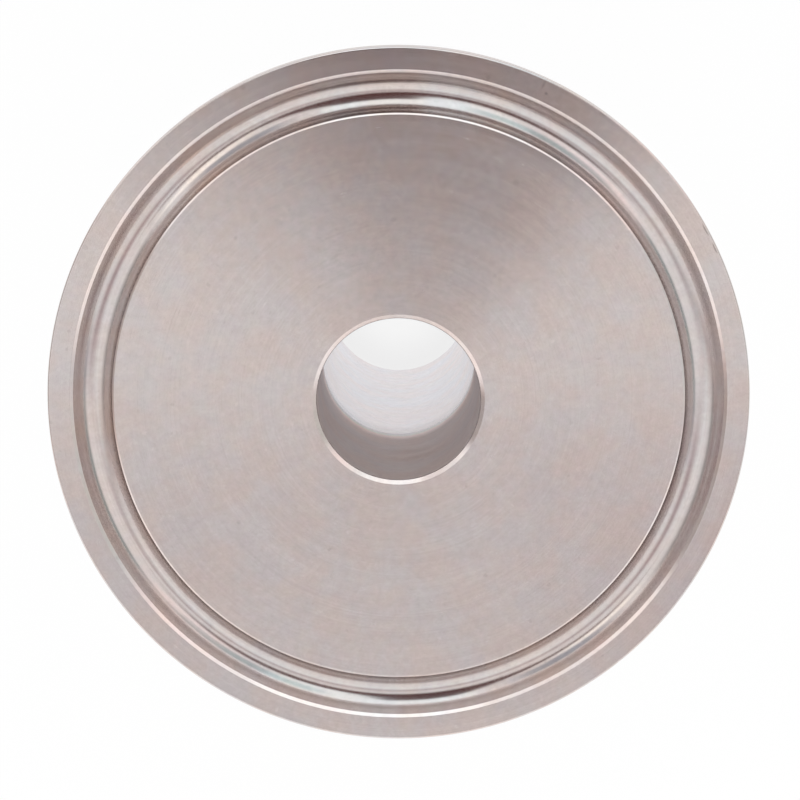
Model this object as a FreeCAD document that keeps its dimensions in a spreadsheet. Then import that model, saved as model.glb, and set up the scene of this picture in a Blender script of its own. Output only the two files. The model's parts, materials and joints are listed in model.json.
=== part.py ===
import FreeCAD, Part
import os

import Sketcher

# Sanitary clamp hose barb: a clamp flange with a gasket groove, a plain neck and a barbed
# hose shank, turned from one bar of stainless steel and bored right through.
# The origin is the centre of the clamp face. +Z leaves that face, and the barb points to -Z.

# Driving dimensions in millimetres, angles in degrees. A depth is measured from the clamp
# face towards the tip of the barb.
DIMENSIONS = {
    # Clamp flange
    "flange_diameter": 50.5,
    "flange_thickness": 6.4,
    "rim_height": 2.85,
    "bevel_angle": 20.0,
    "rim_face_round": 0.15,
    "rim_back_round": 0.5,
    "bevel_end_round": 1.0,
    # Gasket groove: a round bottom between two straight flanks, inside a flat land at the rim.
    # The angles are from the axis, and the outer chamfer's reach is measured down the flank.
    "rim_land": 1.68,
    "groove_depth": 1.25,
    "groove_centre_height": 0.11,
    "inner_flank_angle": 16.0,
    "outer_flank_angle": 36.5,
    "inner_lip_chamfer": 0.1,
    "outer_lip_chamfer_width": 0.07,
    "outer_lip_chamfer_reach": 0.25,
    # Stepped bore: the narrower front part opens in the clamp face, with a flat chamfer
    "front_bore_diameter": 11.8,
    "front_bore_depth": 18.3,
    "bore_step": 0.25,
    "mouth_chamfer_width": 0.3,
    "mouth_chamfer_depth": 0.25,
    "tip_bore_chamfer": 0.3,
    # Hose shank: teeth with a square shoulder towards the flange and a long taper to the tip
    "shank_wall": 1.3,
    "tooth_height": 1.15,
    "tooth_count": 5,
    "tooth_pitch": 6.0,
    "crest_land": 0.6,
    "root_land": 0.8,
    "root_fillet": 0.35,
    "crest_round": 0.12,
    "nose_length": 4.0,
    "nose_drop": 0.45,
    "tip_round": 0.3,
    # Plain neck between the flange and the first tooth, which stands a little above it
    "neck_length": 10.6,
    "neck_step": 0.6,
    "neck_fillet": 2.0,
}

# Radii that follow from the driving dimensions, outwards from the bore
FRONT_BORE_RADIUS = "dimensions.front_bore_diameter / 2"
REAR_BORE_RADIUS = f"{FRONT_BORE_RADIUS} + dimensions.bore_step"
ROOT_RADIUS = f"{REAR_BORE_RADIUS} + dimensions.shank_wall"
TIP_RADIUS = f"{ROOT_RADIUS} - dimensions.nose_drop"
CREST_RADIUS = f"{ROOT_RADIUS} + dimensions.tooth_height"
NECK_RADIUS = f"{CREST_RADIUS} - dimensions.neck_step"
FLANGE_RADIUS = "dimensions.flange_diameter / 2"
BEVEL_REACH = "(dimensions.flange_thickness - dimensions.rim_height) / tan(dimensions.bevel_angle)"

# Depths that follow from them, from the clamp face to the tip
FLANGE_BACK = "dimensions.flange_thickness"
NECK_END = f"{FLANGE_BACK} + dimensions.neck_length"
SHANK_END = f"{NECK_END} + dimensions.tooth_count * dimensions.tooth_pitch"
TIP_DEPTH = f"{SHANK_END} + dimensions.nose_length"

# The groove: the centre of its bottom arc stands a little above the clamp face. A flank at an
# angle from the axis touches that arc, and meets the face this far from its centre.
BOTTOM_ARC_RADIUS = "(dimensions.groove_depth + dimensions.groove_centre_height)"
INNER_REACH, OUTER_REACH = (
    f"({BOTTOM_ARC_RADIUS} - dimensions.groove_centre_height * sin({angle})) / cos({angle})"
    for angle in ("dimensions.inner_flank_angle", "dimensions.outer_flank_angle")
)
OUTER_LIP_RADIUS = f"{FLANGE_RADIUS} - dimensions.rim_land"
GROOVE_RADIUS = f"{OUTER_LIP_RADIUS} - {OUTER_REACH}"
INNER_LIP_RADIUS = f"{GROOVE_RADIUS} - {INNER_REACH}"

# How near a circular edge must lie to the place it is looked for
EDGE_TOLERANCE = 1e-4

# How a sketch numbers its axes and the points of a line or an arc
HORIZONTAL_INDEX, VERTICAL_INDEX = -1, -2
START_INDEX, END_INDEX, CENTRE_INDEX = 1, 2, 3
ORIGIN = (HORIZONTAL_INDEX, START_INDEX)


def make_sheet(doc):
    """Put every driving dimension into a spreadsheet cell with an alias."""
    sheet = doc.addObject("Spreadsheet::Sheet", "dimensions")
    for row, (name, value) in enumerate(DIMENSIONS.items(), start=1):
        sheet.set(f"A{row}", name)
        sheet.set(f"B{row}", str(value))
        sheet.setAlias(f"B{row}", name)
    doc.recompute()
    return sheet


def make_body(doc, name):
    body = doc.addObject("PartDesign::Body", name)
    body.Label = name
    body.Placement = FreeCAD.Placement(FreeCAD.Vector(0, 0, 0), FreeCAD.Rotation())
    return body


def half_section(body, name):
    """A sketch on the plane through the axis: x is the radius and y is the height."""
    plane = next(item for item in body.Origin.OriginFeatures if item.Role == "XZ_Plane")
    sketch = body.newObject("Sketcher::SketchObject", name)
    sketch.AttachmentSupport = (plane, [""])
    sketch.MapMode = "FlatFace"
    return sketch


def bind(sketch, constraint, name, expression):
    """Add a named dimension to a sketch and tie it to the spreadsheet."""
    sketch.addConstraint(constraint)
    sketch.renameConstraint(sketch.ConstraintCount - 1, name)
    sketch.setExpression(f"Constraints.{name}", expression)


def place_corner(sketch, line, name, radius, depth):
    """Give the start of a line its radius and its depth. None puts it on the axis or the face."""
    if radius is None:
        sketch.addConstraint(Sketcher.Constraint("PointOnObject", line, START_INDEX, VERTICAL_INDEX))
    else:
        drawn = sketch.Geometry[line].StartPoint.x
        distance = Sketcher.Constraint("DistanceX", *ORIGIN, line, START_INDEX, drawn)
        bind(sketch, distance, f"{name}_radius", radius)
    if depth is None:
        sketch.addConstraint(Sketcher.Constraint("PointOnObject", line, START_INDEX, HORIZONTAL_INDEX))
    else:
        drawn = -sketch.Geometry[line].StartPoint.y
        distance = Sketcher.Constraint("DistanceY", line, START_INDEX, *ORIGIN, drawn)
        bind(sketch, distance, f"{name}_depth", depth)


def turned_outline(body, name, corners):
    """A closed outline of straight cuts. Each corner is (name, radius, depth)."""
    sketch = half_section(body, name)
    # The first drawing only needs the right order of corners, round the section
    count = len(corners)
    drawn = [
        FreeCAD.Vector(0 if radius is None else count + index, 0 if depth is None else -1 - index, 0)
        for index, (_, radius, depth) in enumerate(corners)
    ]
    for index in range(count):
        sketch.addGeometry(Part.LineSegment(drawn[index], drawn[(index + 1) % count]))
    for index in range(count):
        following = (index + 1) % count
        sketch.addConstraint(Sketcher.Constraint("Coincident", index, END_INDEX, following, START_INDEX))
    for line, (corner_name, radius, depth) in enumerate(corners):
        place_corner(sketch, line, corner_name, radius, depth)
    return sketch


def corner(sketch, name):
    """The radius and the depth of a named corner of an outline."""
    named = {constraint.Name: constraint.Value for constraint in sketch.Constraints}
    return named.get(f"{name}_radius", 0.0), named.get(f"{name}_depth", 0.0)


def revolve(body, kind, name, sketch):
    """Turn a sketch right round the axis, adding a solid or cutting one away."""
    feature = body.newObject(kind, name)
    feature.Profile = (sketch, [""])
    feature.ReferenceAxis = (sketch, ["V_Axis"])
    feature.Angle = 360
    return feature


def ring_edges(feature, rings):
    """The names of the circular edges at the given radii and depths."""
    names = []
    for radius, depth in rings:
        found = [
            f"Edge{index}"
            for index, edge in enumerate(feature.Shape.Edges, start=1)
            if isinstance(edge.Curve, Part.Circle)
            and abs(edge.Curve.Radius - radius) < EDGE_TOLERANCE
            and abs(edge.Curve.Center.z + depth) < EDGE_TOLERANCE
        ]
        if not found:
            raise RuntimeError(f"no edge of radius {radius} at depth {depth} on {feature.Name}")
        names += found
    return names


def dress_edges(doc, body, kind, name, size, rings):
    """Round or chamfer the circular edges at the given radii and depths."""
    doc.recompute()
    base = body.Tip
    feature = body.newObject(kind, name)
    feature.Base = (base, ring_edges(base, rings))
    feature.setExpression("Radius" if kind == "PartDesign::Fillet" else "Size", size)
    return feature


def turn_blank(body):
    """The flange, the neck, the plain shank and the nose, solid to the axis."""
    outline = turned_outline(body, "blank_outline", [
        ("face_centre", None, None),
        ("rim_front", FLANGE_RADIUS, None),
        ("rim_back", FLANGE_RADIUS, "dimensions.rim_height"),
        ("bevel_end", f"{FLANGE_RADIUS} - {BEVEL_REACH}", FLANGE_BACK),
        ("neck_start", NECK_RADIUS, FLANGE_BACK),
        ("neck_end", NECK_RADIUS, NECK_END),
        ("root_start", ROOT_RADIUS, NECK_END),
        ("root_end", ROOT_RADIUS, SHANK_END),
        ("tip", TIP_RADIUS, TIP_DEPTH),
        ("tip_centre", None, TIP_DEPTH),
    ])
    revolve(body, "PartDesign::Revolution", "blank", outline)
    return outline


def turn_teeth(doc, body):
    """One barb tooth, repeated along the shank."""
    outline = turned_outline(body, "tooth_outline", [
        ("shoulder_centre", None, NECK_END),
        ("crest_start", CREST_RADIUS, NECK_END),
        ("crest_end", CREST_RADIUS, f"{NECK_END} + dimensions.crest_land"),
        ("taper_end", ROOT_RADIUS, f"{NECK_END} + dimensions.tooth_pitch - dimensions.root_land"),
        ("taper_centre", None, f"{NECK_END} + dimensions.tooth_pitch - dimensions.root_land"),
    ])
    tooth = revolve(body, "PartDesign::Revolution", "barb_tooth", outline)
    doc.recompute()
    axis = next(item for item in body.Origin.OriginFeatures if item.Role == "Z_Axis")
    teeth = body.newObject("PartDesign::LinearPattern", "barb_teeth")
    teeth.Originals = [tooth]
    teeth.Direction = (axis, [""])
    teeth.Reversed = True
    teeth.Mode = "Spacing"
    teeth.setExpression("Offset", "dimensions.tooth_pitch")
    teeth.setExpression("Occurrences", "dimensions.tooth_count")
    body.Tip = teeth
    return outline


def bore_through(body):
    """The stepped bore, from the clamp face to the tip."""
    outline = turned_outline(body, "bore_outline", [
        ("mouth_centre", None, None),
        ("mouth", FRONT_BORE_RADIUS, None),
        ("step_front", FRONT_BORE_RADIUS, "dimensions.front_bore_depth"),
        ("step_rear", REAR_BORE_RADIUS, "dimensions.front_bore_depth"),
        ("outlet", REAR_BORE_RADIUS, TIP_DEPTH),
        ("outlet_centre", None, TIP_DEPTH),
    ])
    return outline, revolve(body, "PartDesign::Groove", "stepped_bore", outline)


def cut_gasket_groove(body):
    """A groove in the clamp face for the gasket's bead: two flanks that run into one arc."""
    sketch = half_section(body, "groove_section")
    # The first drawing is a shallow groove, from its inner flank round to its mouth
    inner_lip, outer_lip = FreeCAD.Vector(1, 0, 0), FreeCAD.Vector(3, 0, 0)
    inner_foot, outer_foot = FreeCAD.Vector(1.2, -0.4, 0), FreeCAD.Vector(2.8, -0.4, 0)
    inner_flank = sketch.addGeometry(Part.LineSegment(inner_lip, inner_foot))
    bottom = sketch.addGeometry(Part.Arc(inner_foot, FreeCAD.Vector(2, -0.9, 0), outer_foot))
    outer_flank = sketch.addGeometry(Part.LineSegment(outer_foot, outer_lip))
    mouth = sketch.addGeometry(Part.LineSegment(outer_lip, inner_lip))
    for kind, line, following in (
        ("Tangent", inner_flank, bottom),
        ("Tangent", bottom, outer_flank),
        ("Coincident", outer_flank, mouth),
        ("Coincident", mouth, inner_flank),
    ):
        sketch.addConstraint(Sketcher.Constraint(kind, line, END_INDEX, following, START_INDEX))
    for name, point, drawn, radius in (
        ("inner_lip_radius", END_INDEX, inner_lip.x, INNER_LIP_RADIUS),
        ("outer_lip_radius", START_INDEX, outer_lip.x, OUTER_LIP_RADIUS),
    ):
        on_face = Sketcher.Constraint("PointOnObject", mouth, point, HORIZONTAL_INDEX)
        sketch.addConstraint(on_face)
        bind(sketch, Sketcher.Constraint("DistanceX", *ORIGIN, mouth, point, drawn), name, radius)
    drawn = sketch.Geometry[bottom]
    bind(sketch, Sketcher.Constraint("DistanceX", *ORIGIN, bottom, CENTRE_INDEX, drawn.Center.x),
         "groove_radius", GROOVE_RADIUS)
    bind(sketch, Sketcher.Constraint("DistanceY", *ORIGIN, bottom, CENTRE_INDEX, drawn.Center.y),
         "groove_centre_height", "dimensions.groove_centre_height")
    bind(sketch, Sketcher.Constraint("Radius", bottom, drawn.Radius),
         "bottom_arc_radius", BOTTOM_ARC_RADIUS)
    return sketch, revolve(body, "PartDesign::Groove", "gasket_groove", sketch)


def check_cut(feature):
    """A cut that points away from the solid shows no error, so its volume is compared."""
    if feature.Shape.Volume >= feature.BaseFeature.Shape.Volume:
        raise RuntimeError(f"{feature.Name} removed nothing")


def make_fitting(doc, sheet):
    body = make_body(doc, "hose_barb_fitting")
    blank = turn_blank(body)
    tooth = turn_teeth(doc, body)
    bore, bore_cut = bore_through(body)
    groove, groove_cut = cut_gasket_groove(body)

    # Edges of the flange
    fillet, chamfer = "PartDesign::Fillet", "PartDesign::Chamfer"
    dress_edges(doc, body, fillet, "rim_face_edge", "dimensions.rim_face_round",
                [corner(blank, "rim_front")])
    dress_edges(doc, body, fillet, "rim_back_edge", "dimensions.rim_back_round",
                [corner(blank, "rim_back")])
    dress_edges(doc, body, fillet, "bevel_blend", "dimensions.bevel_end_round",
                [corner(blank, "bevel_end")])
    dress_edges(doc, body, fillet, "neck_blend", "dimensions.neck_fillet",
                [corner(blank, "neck_start")])
    dress_edges(doc, body, chamfer, "inner_groove_lip", "dimensions.inner_lip_chamfer",
                [corner(groove, "inner_lip")])
    # The outer lip's chamfer reaches further down the flank than it reaches across the land
    outer_lip = dress_edges(doc, body, chamfer, "outer_groove_lip",
                            "dimensions.outer_lip_chamfer_reach", [corner(groove, "outer_lip")])
    outer_lip.ChamferType = "Two distances"
    outer_lip.setExpression("Size2", "dimensions.outer_lip_chamfer_width")

    # Edges of the teeth: the first shoulder rises from the neck, the others from the root
    pitch = sheet.get("tooth_pitch")
    crest_radius, first_shoulder = corner(tooth, "crest_start")
    shoulders = [first_shoulder + index * pitch for index in range(int(sheet.get("tooth_count")))]
    roots = [(corner(blank, "root_start")[0], depth) for depth in shoulders[1:]]
    dress_edges(doc, body, fillet, "tooth_roots", "dimensions.root_fillet",
                [corner(blank, "neck_end")] + roots)
    dress_edges(doc, body, fillet, "tooth_crests", "dimensions.crest_round",
                [(crest_radius, depth) for depth in shoulders])

    # Edges of the tip and of the bore's two mouths
    dress_edges(doc, body, fillet, "tip_edge", "dimensions.tip_round", [corner(blank, "tip")])
    mouth = dress_edges(doc, body, chamfer, "bore_mouth", "dimensions.mouth_chamfer_depth",
                        [corner(bore, "mouth")])
    mouth.ChamferType = "Two distances"
    mouth.setExpression("Size2", "dimensions.mouth_chamfer_width")
    dress_edges(doc, body, chamfer, "bore_outlet", "dimensions.tip_bore_chamfer",
                [corner(bore, "outlet")])
    doc.recompute()
    for cut in (bore_cut, groove_cut):
        check_cut(cut)
    return body


def check_document(doc):
    for item in doc.Objects:
        if "Invalid" in item.State or "Error" in item.State:
            raise RuntimeError(f"{item.Name} failed: {item.State}")


def write_body(body):
    shape = body.Shape
    if shape.isNull() or not shape.isValid() or len(shape.Solids) != 1:
        raise RuntimeError(f"{body.Label} is not one valid solid")
    shape.exportStep(os.path.join("parts", f"{body.Label}.step"))
    box = shape.BoundBox
    print(f"{body.Label}: {box.XLength:.2f} x {box.YLength:.2f} x {box.ZLength:.2f} mm,"
          f" {shape.Volume:.0f} mm3, {len(shape.Faces)} faces")


def main():
    doc = FreeCAD.newDocument("sanitary_hose_barb")
    sheet = make_sheet(doc)
    fitting = make_fitting(doc, sheet)
    check_document(doc)
    os.makedirs("parts", exist_ok=True)
    write_body(fitting)


main()
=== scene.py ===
import json
import math

import bpy
import numpy as np
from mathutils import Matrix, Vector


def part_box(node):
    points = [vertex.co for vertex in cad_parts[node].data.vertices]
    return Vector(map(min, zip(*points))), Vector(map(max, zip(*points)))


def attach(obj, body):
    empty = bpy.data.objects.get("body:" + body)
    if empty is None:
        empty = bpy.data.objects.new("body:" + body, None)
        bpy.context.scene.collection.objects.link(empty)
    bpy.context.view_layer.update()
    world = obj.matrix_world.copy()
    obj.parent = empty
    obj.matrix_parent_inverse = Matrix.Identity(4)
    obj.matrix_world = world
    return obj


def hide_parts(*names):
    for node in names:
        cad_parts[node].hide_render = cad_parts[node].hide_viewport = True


# Looks of the hose barb fitting: one turned piece of stainless steel that stands on the tip of
# its barb with the clamp face up. All lengths are in metres.

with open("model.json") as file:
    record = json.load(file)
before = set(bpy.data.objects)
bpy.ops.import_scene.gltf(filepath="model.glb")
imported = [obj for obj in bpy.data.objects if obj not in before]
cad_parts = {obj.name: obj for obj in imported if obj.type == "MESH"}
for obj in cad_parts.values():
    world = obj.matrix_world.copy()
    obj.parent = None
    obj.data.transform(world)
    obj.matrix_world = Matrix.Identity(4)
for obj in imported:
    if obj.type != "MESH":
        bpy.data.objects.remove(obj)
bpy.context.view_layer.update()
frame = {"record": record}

MM = 0.001
NODE = "hose_barb_fitting"
MOUNTS = {mount["name"]: mount for mount in frame["record"]["mounts"]}


def mount_radius(name):
    return MOUNTS[name]["dims"]["r_mm"] * MM


# Sizes that the frame gives. A depth is measured from the clamp face towards the tip.
RIM_RADIUS = mount_radius("clamp_rim")
CREST_RADIUS = mount_radius("hose_spigot")
FRONT_BORE_RADIUS = mount_radius("front_bore")
REAR_BORE_RADIUS = mount_radius("rear_bore")
TIP_DEPTH = -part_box(NODE)[0].z

# Clamp flange
FLANGE_THICKNESS = 6.4 * MM
RIM_HEIGHT = 2.85 * MM
BEVEL_ANGLE = math.radians(20)
RIM_FACE_ROUND = 0.15 * MM
RIM_BACK_ROUND = 0.5 * MM
BEVEL_END_ROUND = 1.0 * MM

# Gasket groove: a round bottom between two straight flanks, with angles from the axis. The
# outer lip's chamfer reaches down the flank further than it is wide across the land.
RIM_LAND = 1.68 * MM
GROOVE_DEPTH = 1.25 * MM
GROOVE_CENTRE_HEIGHT = 0.11 * MM
INNER_FLANK_ANGLE = math.radians(16)
OUTER_FLANK_ANGLE = math.radians(36.5)
INNER_LIP_CHAMFER = 0.1 * MM
OUTER_LIP_WIDTH = 0.07 * MM
OUTER_LIP_REACH = 0.25 * MM

# Bore
BORE_STEP_DEPTH = 18.3 * MM
MOUTH_CHAMFER_WIDTH = 0.3 * MM
MOUTH_CHAMFER_DEPTH = 0.25 * MM
MOUTH_ROUND = 0.12 * MM
OUTLET_CHAMFER = 0.3 * MM

# Neck and hose shank
NECK_RADIUS = CREST_RADIUS - 0.6 * MM
NECK_FILLET = 2.0 * MM
ROOT_RADIUS = CREST_RADIUS - 1.15 * MM
TIP_RADIUS = ROOT_RADIUS - 0.45 * MM
TIP_ROUND = 0.3 * MM
TOOTH_COUNT = 5
TOOTH_PITCH = 6.0 * MM
NOSE_LENGTH = 4.0 * MM
CREST_LAND = 0.6 * MM
ROOT_LAND = 0.8 * MM
ROOT_FILLET = 0.35 * MM
CREST_ROUND = 0.12 * MM
SHANK_END = TIP_DEPTH - NOSE_LENGTH
NECK_END = SHANK_END - TOOTH_COUNT * TOOTH_PITCH

# How finely the piece is turned
SEGMENTS = 320
GROOVE_STEPS = 48
ROUND_STEPS = 8

# Machined edges are never quite sharp
SOFT_EDGE = 0.05 * MM

QUARTER = math.pi / 2

# The outline is walked with the metal on the right, so a surface's normal is on the left.
# Each facet is (start, start normal, end, end normal, finish), and a normal is an angle in the
# half section, from the radial direction towards +Z.


def straight(start, end, finish):
    normal = math.atan2(end[1] - start[1], end[0] - start[0]) + QUARTER
    return [(start, normal, end, normal, finish)]


def arc(centre, radius, first, last, finish, steps):
    """A round stretch: its normal turns from first to last, clockwise where it is convex."""
    side = radius if last < first else -radius
    angles = [first + (last - first) * step / steps for step in range(steps + 1)]
    points = [(centre[0] + side * math.cos(a), centre[1] + side * math.sin(a)) for a in angles]
    return [
        (points[i], angles[i], points[i + 1], angles[i + 1], finish)
        for i in range(steps)
    ]


def unit(start, end):
    length = math.dist(start, end)
    return (end[0] - start[0]) / length, (end[1] - start[1]) / length


def rounded_corner(before, corner, after, radius, finish, steps):
    """The two ends of a rounding at a corner, and its facets."""
    into, out = unit(before, corner), unit(corner, after)
    turn = math.atan2(into[0] * out[1] - into[1] * out[0], into[0] * out[0] + into[1] * out[1])
    trim = radius * math.tan(abs(turn) / 2)
    start = (corner[0] - into[0] * trim, corner[1] - into[1] * trim)
    end = (corner[0] + out[0] * trim, corner[1] + out[1] * trim)
    normal = math.atan2(into[1], into[0]) + QUARTER
    side = radius if turn < 0 else -radius
    centre = (start[0] - side * math.cos(normal), start[1] - side * math.sin(normal))
    return start, end, arc(centre, radius, normal, normal + turn, finish, steps)


def walk(corners):
    """Facets along corners of (radius, depth, rounding, finish of what follows)."""
    points = [(radius, -depth) for radius, depth, _, _ in corners]
    facets = []
    place = points[0]
    for i in range(1, len(corners)):
        rounding = corners[i][2]
        leaving = corners[i - 1][3]
        if rounding:
            start, end, bend = rounded_corner(
                points[i - 1], points[i], points[i + 1], rounding, "edge", ROUND_STEPS
            )
            facets += straight(place, start, leaving) + bend
            place = end
        else:
            facets += straight(place, points[i], leaving)
            place = points[i]
    return facets


def down_flank(lip, angle, side, length):
    """The radius and the depth of a place down a flank of the groove from its lip."""
    return lip - side * length * math.sin(angle), length * math.cos(angle)


def groove_outline():
    """The gasket groove: corners down to its bottom, the bottom's facets, corners up again."""
    bottom = GROOVE_DEPTH + GROOVE_CENTRE_HEIGHT
    angles = (INNER_FLANK_ANGLE, OUTER_FLANK_ANGLE)
    reaches = [(bottom - GROOVE_CENTRE_HEIGHT * math.sin(a)) / math.cos(a) for a in angles]
    lengths = [(bottom * math.sin(a) - GROOVE_CENTRE_HEIGHT) / math.cos(a) for a in angles]
    outer_lip = RIM_RADIUS - RIM_LAND
    centre = outer_lip - reaches[1]
    inner_lip = centre - reaches[0]
    inward = [
        (inner_lip - INNER_LIP_CHAMFER, 0, SOFT_EDGE, "edge"),
        (*down_flank(inner_lip, angles[0], -1, INNER_LIP_CHAMFER), SOFT_EDGE, "groove"),
        (*down_flank(inner_lip, angles[0], -1, lengths[0]), 0, "groove"),
    ]
    round_bottom = arc(
        (centre, GROOVE_CENTRE_HEIGHT), bottom, angles[0], math.pi - angles[1],
        "groove", GROOVE_STEPS,
    )
    outward = [
        (*down_flank(outer_lip, angles[1], 1, lengths[1]), 0, "groove"),
        (*down_flank(outer_lip, angles[1], 1, OUTER_LIP_REACH), SOFT_EDGE, "edge"),
        (outer_lip + OUTER_LIP_WIDTH, 0, SOFT_EDGE, "face"),
    ]
    return inward, round_bottom, outward


def tooth_corners(shoulder):
    """The square shoulder of a barb tooth, its crest and its long taper."""
    return [
        (CREST_RADIUS, shoulder, CREST_ROUND, "shank"),
        (CREST_RADIUS, shoulder + CREST_LAND, 0, "shank"),
        (ROOT_RADIUS, shoulder + TOOTH_PITCH - ROOT_LAND, 0, "shank"),
    ]


def fitting_outline():
    """The closed half section, from the bore's mouth over the face and round to the bore."""
    inward, round_bottom, outward = groove_outline()
    mouth = (FRONT_BORE_RADIUS + MOUTH_CHAMFER_WIDTH, 0)
    facets = walk([(*mouth, 0, "face"), *inward]) + round_bottom
    bevel_reach = (FLANGE_THICKNESS - RIM_HEIGHT) / math.tan(BEVEL_ANGLE)
    corners = [
        *outward,
        (RIM_RADIUS, 0, RIM_FACE_ROUND, "rim"),
        (RIM_RADIUS, RIM_HEIGHT, RIM_BACK_ROUND, "back"),
        (RIM_RADIUS - bevel_reach, FLANGE_THICKNESS, BEVEL_END_ROUND, "back"),
        (NECK_RADIUS, FLANGE_THICKNESS, NECK_FILLET, "shank"),
        (NECK_RADIUS, NECK_END, ROOT_FILLET, "shank"),
    ]
    for index in range(TOOTH_COUNT):
        shoulder = NECK_END + index * TOOTH_PITCH
        if index:
            corners.append((ROOT_RADIUS, shoulder, ROOT_FILLET, "shank"))
        corners += tooth_corners(shoulder)
    corners += [
        (ROOT_RADIUS, SHANK_END, 0, "shank"),
        (TIP_RADIUS, TIP_DEPTH, TIP_ROUND, "shank"),
        (REAR_BORE_RADIUS + OUTLET_CHAMFER, TIP_DEPTH, 0, "edge"),
        (REAR_BORE_RADIUS, TIP_DEPTH - OUTLET_CHAMFER, 0, "rear_bore"),
        (REAR_BORE_RADIUS, BORE_STEP_DEPTH, 0, "rear_bore"),
        (FRONT_BORE_RADIUS, BORE_STEP_DEPTH, 0, "front_bore"),
        (FRONT_BORE_RADIUS, MOUTH_CHAMFER_DEPTH, MOUTH_ROUND, "mouth"),
        (*mouth, 0, "face"),
    ]
    return facets + walk(corners)


def turn_piece(name, facets, finishes):
    """Spin the closed outline about Z, with the exact normal at each corner of each face."""
    count = len(facets)
    outline = np.array([facet[0] for facet in facets])
    spin = np.arange(SEGMENTS) * 2 * math.pi / SEGMENTS
    cos, sin = np.cos(spin)[:, None], np.sin(spin)[:, None]
    radius, height = outline[:, 0][None, :], outline[:, 1][None, :]
    vertices = np.stack([radius * cos, radius * sin, height + 0 * cos], axis=-1).reshape(-1, 3)

    here = np.arange(SEGMENTS)[:, None] * count
    onward = (np.arange(SEGMENTS)[:, None] + 1) % SEGMENTS * count
    first = np.arange(count)[None, :]
    second = (first + 1) % count
    faces = np.stack(
        [here + first, here + second, onward + second, onward + first], axis=-1
    ).reshape(-1, 4)

    def directions(angles, turned):
        """Normals in space for angles in the half section, turned by whole segments."""
        c, s = np.roll(cos, -turned, axis=0), np.roll(sin, -turned, axis=0)
        lean, rise = np.cos(angles)[None, :], np.sin(angles)[None, :]
        return np.stack([lean * c, lean * s, rise + 0 * c], axis=-1)

    start_angles = np.array([facet[1] for facet in facets])
    end_angles = np.array([facet[3] for facet in facets])
    normals = np.stack(
        [
            directions(start_angles, 0),
            directions(end_angles, 0),
            directions(end_angles, 1),
            directions(start_angles, 1),
        ],
        axis=2,
    ).reshape(-1, 3)

    mesh = bpy.data.meshes.new(name)
    mesh.from_pydata(vertices.tolist(), [], faces.tolist())
    mesh.shade_smooth()
    names = list(finishes)
    for finish in names:
        mesh.materials.append(finishes[finish])
    slots = np.tile([names.index(facet[4]) for facet in facets], SEGMENTS)
    mesh.polygons.foreach_set("material_index", slots.astype(np.int32))
    mesh.normals_split_custom_set(normals.tolist())
    mesh.update()
    piece = bpy.data.objects.new(name, mesh)
    bpy.context.scene.collection.objects.link(piece)
    return piece


class Tree:
    """Adds nodes to a node tree. An input is given as a value or as another node's output."""

    def __init__(self, tree):
        self.tree = tree
        tree.nodes.clear()

    def add(self, kind, inputs=None, output=0, **settings):
        made = self.tree.nodes.new(kind)
        for name, value in settings.items():
            setattr(made, name, value)
        for key, value in (inputs or {}).items():
            if isinstance(value, bpy.types.NodeSocket):
                self.tree.links.new(value, made.inputs[key])
            else:
                made.inputs[key].default_value = value
        return made.outputs[output] if made.outputs else None

    def math(self, operation, *values):
        inputs = dict(enumerate(values))
        return self.add("ShaderNodeMath", inputs, operation=operation)

    def vector(self, operation, *values, output=0):
        inputs = dict(enumerate(values))
        return self.add("ShaderNodeVectorMath", inputs, output=output, operation=operation)

    def remap(self, value, low, high, new_low, new_high, smooth=False):
        inputs = {0: value, 1: low, 2: high, 3: new_low, 4: new_high}
        kind = "SMOOTHSTEP" if smooth else "LINEAR"
        return self.add("ShaderNodeMapRange", inputs, interpolation_type=kind)

    def band(self, value, low, high, soft):
        """1 between low and high, with a soft step at each."""
        rise = self.remap(value, low - soft / 2, low + soft / 2, 0.0, 1.0, smooth=True)
        fall = self.remap(value, high - soft / 2, high + soft / 2, 1.0, 0.0, smooth=True)
        return self.math("MULTIPLY", rise, fall)

    def mix_colour(self, factor, first, second):
        # The node's sockets for colours come after those for numbers and vectors
        inputs = {0: factor, 6: first, 7: second}
        return self.add("ShaderNodeMix", inputs, output=2, data_type="RGBA")

    def noise(self, vector, scale, detail, rough):
        inputs = {"Vector": vector, "Scale": scale, "Detail": detail, "Roughness": rough}
        return self.add("ShaderNodeTexNoise", inputs)


def new_material(name):
    material = bpy.data.materials.new(name)
    material.use_nodes = True
    return material, Tree(material.node_tree)


# How fast the turning marks change along the axis, against outwards
HEIGHT_SHARE = 0.73


def ring_space(tree, circle, spacing):
    """Coordinates for a pattern of rings. Once round the axis is a circle of that radius in the
    pattern, and one spacing outwards is one unit of it."""
    position = tree.add("ShaderNodeTexCoord", output="Object")
    flat = tree.vector("MULTIPLY", position, (1, 1, 0))
    radius = tree.vector("LENGTH", flat, output="Value")
    around = tree.vector("NORMALIZE", flat)
    height = tree.add("ShaderNodeSeparateXYZ", {0: position}, output=2)
    across = tree.math("MULTIPLY_ADD", height, HEIGHT_SHARE, radius)
    across = tree.math("DIVIDE", across, spacing)
    stack = tree.add("ShaderNodeCombineXYZ", {2: across})
    return tree.vector("MULTIPLY_ADD", around, (circle, circle, 0), stack)


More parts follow.
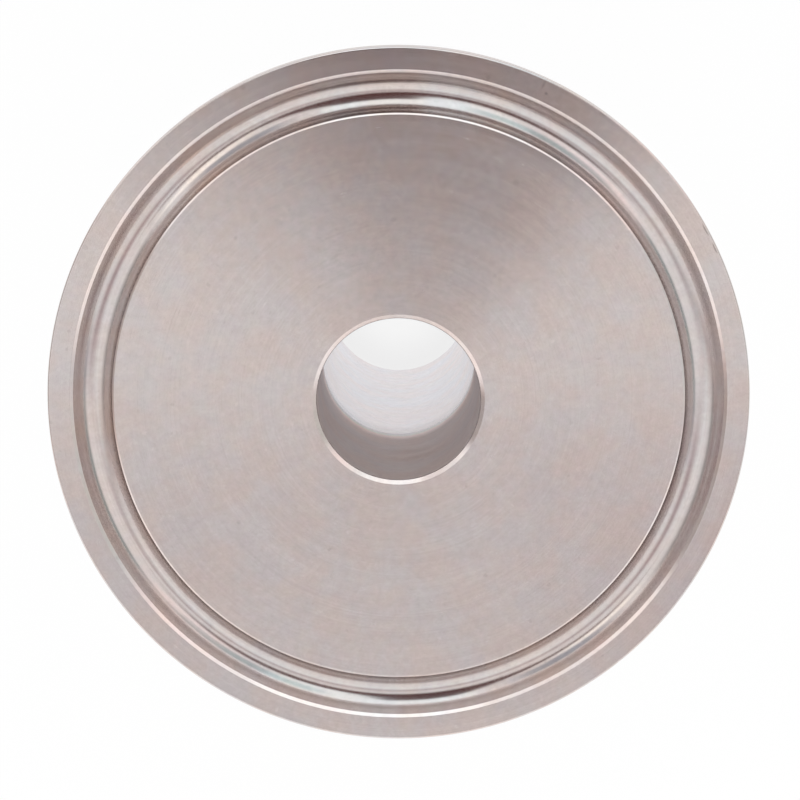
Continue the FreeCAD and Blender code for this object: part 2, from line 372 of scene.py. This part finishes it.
# Patterns in the steel. Rings are (circle, spacing, detail, roughness), where the first two are
# those of ring_space, and clouds are (scale, detail, roughness).
RINGS = {
    "fine": (1.1, 0.09 * MM, 3.0, 0.6),
    "broad": (0.7, 0.9 * MM, 2.0, 0.5),
    "short": (22.0, 0.11 * MM, 2.0, 0.5),
}
CLOUDS = {
    "tint": (260.0, 3.0, 0.55),
    "patches": (420.0, 2.0, 0.6),
    "green": (800.0, 4.0, 0.7),
    "specks": (1500.0, 0.0, 0.0),
    "mottle": (1700.0, 2.0, 0.65),
    "grain": (5200.0, 2.0, 0.6),
}

# What the patterns do to the steel's brightness. Each is (pattern, its value from and to,
# brightness from and to, whether the change is smooth).
SHADES = [
    ("fine", 0.3, 0.7, 0.965, 1.03, False),
    ("broad", 0.3, 0.7, 0.985, 1.015, False),
    ("short", 0.66, 0.78, 1.0, 0.955, True),
    ("grain", 0.3, 0.7, 0.976, 1.02, False),
    ("mottle", 0.3, 0.7, 0.965, 1.035, False),
    ("patches", 0.3, 0.7, 0.982, 1.018, False),
    ("specks", 0.81, 0.85, 1.0, 1.06, True),
    ("specks", 0.15, 0.19, 0.92, 1.0, True),
]

# What the clouds do to its colour: red, green and blue where it is warm and where it is cool,
# and how far green moves by itself
WARM = (1.012, 0.986, 0.96)
COOL = (0.972, 1.016, 1.04)
GREEN_CHANGE = 0.018

# What the rings do to its roughness, and how high the short marks are against the fine rings
ROUGHNESS_CHANGE = 0.07
SHORT_MARK_ROUGHNESS = 0.05
SHORT_MARK_SHARE = 0.35

# The gloss stretches across the turning marks, a quarter turn from them
ACROSS_MARKS = 0.25

# Short dark nicks at the rim. Each is (azimuth in degrees, radius, reach round the axis and
# reach across it, from its middle, brightness). A nick is full up to the first share of its
# reach, and gone at the second.
NICKS = [
    (29.4, 25.08 * MM, 0.5 * MM, 0.1 * MM, 0.62),
    (26.0, 25.08 * MM, 0.45 * MM, 0.1 * MM, 0.62),
    (54.9, 25.1 * MM, 0.35 * MM, 0.08 * MM, 0.75),
    (65.6, 24.85 * MM, 0.08 * MM, 0.4 * MM, 0.85),
    (64.6, 24.3 * MM, 0.15 * MM, 0.1 * MM, 0.75),
]
NICK_FULL, NICK_GONE = 0.5, 1.2


def tinted(colour, change):
    return (*(part * factor for part, factor in zip(colour, change)), 1)


def painted_fade(tree, height, start, end, brightness):
    """Painted light and shade: 1 up to the height start, and brightness from the height end on.
    """
    low, high = sorted((start, end))
    ends = (1.0, brightness) if low == start else (brightness, 1.0)
    return tree.remap(height, low, high, *ends, smooth=True)


def nick_shade(tree, position, azimuth, radius, round_reach, across_reach, brightness):
    outwards = (math.cos(math.radians(azimuth)), math.sin(math.radians(azimuth)), 0)
    onwards = (-outwards[1], outwards[0], 0)
    across = tree.vector("DOT_PRODUCT", position, outwards, output="Value")
    across = tree.math("DIVIDE", tree.math("SUBTRACT", across, radius), across_reach)
    along = tree.vector("DOT_PRODUCT", position, onwards, output="Value")
    along = tree.math("DIVIDE", along, round_reach)
    offset = tree.add("ShaderNodeCombineXYZ", {0: across, 1: along})
    offset = tree.vector("LENGTH", offset, output="Value")
    return tree.remap(offset, NICK_FULL, NICK_GONE, brightness, 1.0, smooth=True)


def turned_steel(name, colour, roughness, anisotropy, marks, painted_fades, nicks):
    """Stainless steel with turning marks round the axis. marks is the depth of the marks."""
    material, tree = new_material(name)
    position = tree.add("ShaderNodeTexCoord", output="Object")
    patterns = {}
    for key, (circle, spacing, detail, rough) in RINGS.items():
        patterns[key] = tree.noise(ring_space(tree, circle, spacing), 1.0, detail, rough)
    for key, (scale, detail, rough) in CLOUDS.items():
        patterns[key] = tree.noise(position, scale, detail, rough)

    shades = [tree.remap(patterns[key], *change) for key, *change in SHADES]
    height = tree.add("ShaderNodeSeparateXYZ", {0: position}, output=2)
    # The fades are painted light and shade along the bore
    shades += [painted_fade(tree, height, *fade) for fade in painted_fades]
    shades += [nick_shade(tree, position, *nick) for nick in nicks]
    shade = shades[0]
    for factor in shades[1:]:
        shade = tree.math("MULTIPLY", shade, factor)

    warmth = tree.remap(patterns["tint"], 0.32, 0.68, 0.0, 1.0, smooth=True)
    base = tree.mix_colour(warmth, tinted(colour, WARM), tinted(colour, COOL))
    green = tree.remap(patterns["green"], 0.3, 0.7, 1 - GREEN_CHANGE, 1 + GREEN_CHANGE)
    green = tree.add("ShaderNodeCombineXYZ", {0: 1, 1: green, 2: 1})
    base = tree.vector("MULTIPLY", base, green)
    base = tree.add("ShaderNodeVectorMath", {0: base, "Scale": shade}, operation="SCALE")

    smoother, rougher = roughness * (1 - ROUGHNESS_CHANGE), roughness * (1 + ROUGHNESS_CHANGE)
    spread = tree.remap(patterns["broad"], 0.3, 0.7, smoother, rougher)
    scuffs = tree.remap(patterns["short"], 0.6, 0.8, 0.0, SHORT_MARK_ROUGHNESS)
    relief = tree.math("MULTIPLY_ADD", patterns["short"], SHORT_MARK_SHARE, patterns["fine"])
    bump = {"Height": relief, "Strength": 1.0, "Distance": marks}
    shader = tree.add(
        "ShaderNodeBsdfPrincipled",
        {
            "Base Color": base,
            "Metallic": 1.0,
            "Roughness": tree.math("ADD", spread, scuffs),
            "Anisotropic": anisotropy,
            "Anisotropic Rotation": ACROSS_MARKS,
            "Tangent": tree.add("ShaderNodeTangent", direction_type="RADIAL", axis="Z"),
            "Normal": tree.add("ShaderNodeBump", bump),
        },
    )
    tree.add("ShaderNodeOutputMaterial", {0: shader})
    return material


STEEL = (0.617, 0.546, 0.527)
# The front bore's colour is darker and browner than the steel: painted shade, for the light that
# its walls reflect into each other
FRONT_BORE_STEEL_PAINTED_SHADE = (0.58, 0.49, 0.46)
# The rear bore's colour is far paler than the steel: a painted reflection of the bright floor
# beyond the outlet
REAR_BORE_STEEL_PAINTED_LIGHT = (0.85, 0.8, 0.83)

# Painted light and shade in the bore: the front bore gets brighter towards the step, and the
# rear bore darker next to the step and brighter towards the outlet. Each fade is (height where
# it starts, height where it ends, brightness at its end).
FRONT_BORE_PAINTED_LIGHT = [
    (7 * MM - BORE_STEP_DEPTH, -BORE_STEP_DEPTH, 1.2),
    (3 * MM - BORE_STEP_DEPTH, -BORE_STEP_DEPTH, 1.85),
]
REAR_BORE_PAINTED_LIGHT_AND_SHADE = [
    (-5 * MM - BORE_STEP_DEPTH, -1.4 * MM - BORE_STEP_DEPTH, 0.78),
    (14 * MM - TIP_DEPTH, -TIP_DEPTH, 1.07),
]

# Finishes by the names that the outline gives. Each is (name of the material, colour, roughness,
# anisotropy, depth of the turning marks, fades of painted light and shade, nicks).
FINISHES = {
    "face": ("turned_face", STEEL, 0.228, 0.74, 0.00008 * MM, [], NICKS),
    "groove": ("turned_groove", STEEL, 0.16, 0.74, 0.00003 * MM, [], []),
    "edge": ("broken_edges", STEEL, 0.16, 0.5, 0.00002 * MM, [], []),
    "mouth": ("bore_mouth", STEEL, 0.2, 0.5, 0.00002 * MM, [], []),
    "rim": ("turned_rim", STEEL, 0.3, 0.7, 0.0001 * MM, [], NICKS),
    "back": ("turned_back", STEEL, 0.34, 0.8, 0.00015 * MM, [], []),
    "shank": ("turned_shank", STEEL, 0.32, 0.7, 0.00015 * MM, [], []),
    # The bores' colours and fades are painted light and shade
    "front_bore": (
        "drilled_bore_painted_light_and_shade", FRONT_BORE_STEEL_PAINTED_SHADE, 0.42, 0.5, 0.0002 * MM, FRONT_BORE_PAINTED_LIGHT, []
    ),
    "rear_bore": ("reamed_bore_painted_light_and_shade", REAR_BORE_STEEL_PAINTED_LIGHT, 0.25, 0.5, 0.0001 * MM, REAR_BORE_PAINTED_LIGHT_AND_SHADE, []),
}


# Photograph: where the camera stood over the clamp face, and half of the picture's width as a
# share of the distance
CAMERA_DISTANCE = 207.0 * MM
CAMERA_TILT = math.radians(9.93)
CAMERA_ASIDE = 0.103 * MM
HALF_VIEW = 0.1389
SENSOR = 36.0
CLIP_NEAR, CLIP_FAR = 10 * MM, 10.0


def make_camera():
    data = bpy.data.cameras.new("camera")
    data.sensor_width = SENSOR
    data.lens = SENSOR / 2 / HALF_VIEW
    data.clip_start = CLIP_NEAR
    data.clip_end = CLIP_FAR
    camera = bpy.data.objects.new("camera", data)
    camera.location = (
        CAMERA_ASIDE,
        CAMERA_DISTANCE * math.sin(CAMERA_TILT),
        CAMERA_DISTANCE * math.cos(CAMERA_TILT),
    )
    camera.rotation_euler = (-CAMERA_TILT, 0, 0)
    bpy.context.scene.collection.objects.link(camera)
    bpy.context.scene.camera = camera
    return camera


DISC_CORNERS = 96


def disc(name, radius):
    """A flat round sheet facing +Z, at the origin."""
    angles = [2 * math.pi * i / DISC_CORNERS for i in range(DISC_CORNERS)]
    ring = [(radius * math.cos(angle), radius * math.sin(angle), 0) for angle in angles]
    mesh = bpy.data.meshes.new(name)
    mesh.from_pydata(ring, [], [list(range(DISC_CORNERS))])
    sheet = bpy.data.objects.new(name, mesh)
    bpy.context.scene.collection.objects.link(sheet)
    return sheet


def seen_directly(tree):
    """1 for rays from the camera, and for rays reflected or let through by what it sees."""
    kinds = [
        tree.add("ShaderNodeLightPath", output=name)
        for name in ("Is Camera Ray", "Is Glossy Ray", "Is Transmission Ray")
    ]
    return tree.math("MAXIMUM", tree.math("MAXIMUM", kinds[0], kinds[1]), kinds[2])


FLOOR_RADIUS = 3.0
FLOOR_GLOW = 0.9
FLOOR_PALE = 0.1

# The floor is a little darker round the tip, and inside the rear bore's outlet
TIP_SHADOW = 0.07
TIP_SHADOW_FROM, TIP_SHADOW_TO, TIP_SHADOW_SOFTNESS = 4 * MM, 16 * MM, 4 * MM


def make_floor():
    """White where it is seen, with a faint shadow of the fitting."""
    floor = disc("floor", FLOOR_RADIUS)
    floor.location = (0, 0, -TIP_DEPTH)
    material, tree = new_material("pale_floor")
    place = tree.add("ShaderNodeTexCoord", output="Object")
    radius = tree.vector("LENGTH", place, output="Value")
    shadow = tree.band(radius, TIP_SHADOW_FROM, TIP_SHADOW_TO, TIP_SHADOW_SOFTNESS)
    strength = tree.math("SUBTRACT", FLOOR_GLOW, tree.math("MULTIPLY", shadow, TIP_SHADOW))
    strength = tree.math("MULTIPLY", seen_directly(tree), strength)
    glow = tree.add("ShaderNodeEmission", {"Color": (1, 1, 1, 1), "Strength": strength})
    pale = (FLOOR_PALE, FLOOR_PALE, FLOOR_PALE, 1)
    paper = tree.add("ShaderNodeBsdfDiffuse", {"Color": pale})
    both = tree.add("ShaderNodeAddShader", {0: glow, 1: paper})
    tree.add("ShaderNodeOutputMaterial", {0: both})
    floor.data.materials.append(material)


# The studio round the fitting, far away. Angles are in degrees: round the zenith from the right
# side of the picture, and down from the zenith. Each panel is (centre and width round, softness,
# from and to downwards, softness, light that it adds). A darker stretch adds less than nothing,
# and a width of 720 goes all the way round.
TENT_LIGHT = 1.08
PANELS = {
    "back_window": (83.5, 49, 2.5, 17.5, 180, 8, (0.27, 0.4, 0.44)),
    "window_left_edge": (129, 23, 12, 37, 67, 8, (-0.6, -0.56, -0.5)),
    "window_right_edge": (54, 37, 8.5, 35, 63, 8, (-0.5, -0.4, -0.39)),
    "pale_left_wall": (144, 21, 6, 15, 40.5, 8, (0.55, 0.55, 0.47)),
    "pale_right_wall": (36, 21, 9, 11.5, 180, 11, (0.25, 0.15, 0.14)),
    "low_left_gap": (175, 40, 14, 55, 180, 40, (-0.97, -0.99, -1.0)),
    "low_right_gap": (8.5, 51.5, 38, 51, 180, 8, (-0.72, -0.66, -0.66)),
    "front_wall": (248.5, 91, 6, 17, 37, 33, (0.12, 0.2, 0.21)),
    "horizon": (0, 720, 1, 66, 180, 8, (0.51, 0.48, 0.47)),
    "under_window": (87, 54, 3, 79, 180, 8, (-1.0, -1.0, -0.87)),
}

# Dark rails of the studio that run from left to right in front of the fitting. Each is (from and
# to towards the back, softness, which side, how far out it starts, light that it adds).
RAILS = {
    "left_rail": (-0.38, -0.22, 0.2, -1, -0.5, (-0.43, -0.5, -0.51)),
    "right_rail": (-0.31, -0.22, 0.2, 1, -0.3, (-0.27, -0.34, -0.31)),
}
RAIL_SOFTNESS = 0.4

# Ends of a band that no direction reaches
BELOW_ALL, BEYOND_ALL = -math.tau, 2


def make_world():
    """A white tent with soft panels of more and of less light, plain white as a backdrop."""
    world = bpy.data.worlds.new("studio")
    bpy.context.scene.world = world
    world.use_nodes = True
    tree = Tree(world.node_tree)
    towards = tree.add("ShaderNodeTexCoord", output="Generated")
    parts = tree.add("ShaderNodeSeparateXYZ", {0: towards}).node.outputs
    around = tree.math("ARCTAN2", parts[1], parts[0])
    down = tree.math("ARCCOSINE", parts[2])

    light = (TENT_LIGHT, TENT_LIGHT, TENT_LIGHT)
    for centre, width, soft, top, bottom, fade, added in PANELS.values():
        aside = tree.math("SUBTRACT", around, math.radians(centre))
        aside = tree.math("ABSOLUTE", tree.math("WRAP", aside, math.pi, -math.pi))
        cover = tree.band(aside, BELOW_ALL, math.radians(width / 2), math.radians(soft))
        height = tree.band(down, math.radians(top), math.radians(bottom), math.radians(fade))
        cover = tree.math("MULTIPLY", cover, height)
        light = tree.vector("MULTIPLY_ADD", added, cover, light)
    for near, far, soft, side, start, added in RAILS.values():
        cover = tree.band(parts[1], near, far, soft)
        outwards = tree.math("MULTIPLY", parts[0], side)
        length = tree.band(outwards, start, BEYOND_ALL, RAIL_SOFTNESS)
        cover = tree.math("MULTIPLY", cover, length)
        light = tree.vector("MULTIPLY_ADD", added, cover, light)
    light = tree.vector("MAXIMUM", light, (0, 0, 0))
    direct = tree.add("ShaderNodeLightPath", output="Is Camera Ray")
    light = tree.mix_colour(direct, light, (1, 1, 1, 1))
    background = tree.add("ShaderNodeBackground", {"Color": light, "Strength": 1.0})
    tree.add("ShaderNodeOutputWorld", {0: background})


# The dark round the lens, in millimetres to the right and upwards in the camera's plane. Each
# block is (left, right, softness, low, high, softness, how much it hides). The wash is an oval
# that hides all up to the first share of its reach, and nothing from the second on.
CARD_RADIUS = 200
CARD_BEHIND = 3 * MM
DARK_BLOCKS = {
    "arm": (-40.5, 11.5, 4, -21.5, 125, 9, 0.94),
    "camera_body": (-65, 50, 15, -32, 3.5, 9, 0.85),
    "lens": (-11, 38.5, 6, -39, 11.5, 9, 1.0),
}
WASH_CENTRE, WASH_REACH = (15.5, -18), (13, 33.5)
WASH_FULL, WASH_GONE = 0.5, 1.5
DARK_COLOUR = (0.07, 0.0, 0.0, 1)


def make_card(camera):
    """What is dark behind the lens, on a clear card that the camera itself doesn't see."""
    card = disc("lens_card", 1)
    card.location = camera.location + camera.location.normalized() * CARD_BEHIND
    card.rotation_euler = camera.rotation_euler
    card.scale = (CARD_RADIUS * MM, CARD_RADIUS * MM, 1)
    card.visible_camera = False
    material, tree = new_material("dark_round_lens")
    place = tree.add("ShaderNodeTexCoord", output="Object")
    place = tree.vector("MULTIPLY", place, (CARD_RADIUS, CARD_RADIUS, 0))
    parts = tree.add("ShaderNodeSeparateXYZ", {0: place}).node.outputs
    centred = tree.vector("SUBTRACT", place, (*WASH_CENTRE, 0))
    oval = tree.vector("DIVIDE", centred, (*WASH_REACH, 1))
    oval = tree.vector("LENGTH", oval, output="Value")
    clear = tree.remap(oval, WASH_FULL, WASH_GONE, 0.0, 1.0, smooth=True)
    for left, right, soft, low, high, fade, hides in DARK_BLOCKS.values():
        cover = tree.band(parts[0], left, right, soft)
        cover = tree.math("MULTIPLY", cover, tree.band(parts[1], low, high, fade))
        cover = tree.math("MULTIPLY", cover, hides)
        clear = tree.math("MULTIPLY", clear, tree.math("SUBTRACT", 1.0, cover))
    glass = tree.add("ShaderNodeBsdfTransparent", {"Color": (1, 1, 1, 1)})
    glow = tree.add("ShaderNodeEmission", {"Color": DARK_COLOUR, "Strength": 1.0})
    both = tree.add("ShaderNodeMixShader", {0: clear, 1: glow, 2: glass})
    tree.add("ShaderNodeOutputMaterial", {0: both})
    card.data.materials.append(material)


bpy.context.scene.view_settings.view_transform = "Standard"
finishes = {name: turned_steel(*finish) for name, finish in FINISHES.items()}
fitting = turn_piece("turned_fitting", fitting_outline(), finishes)
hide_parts(NODE)
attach(fitting, "root")
make_world()
make_floor()
make_card(make_camera())
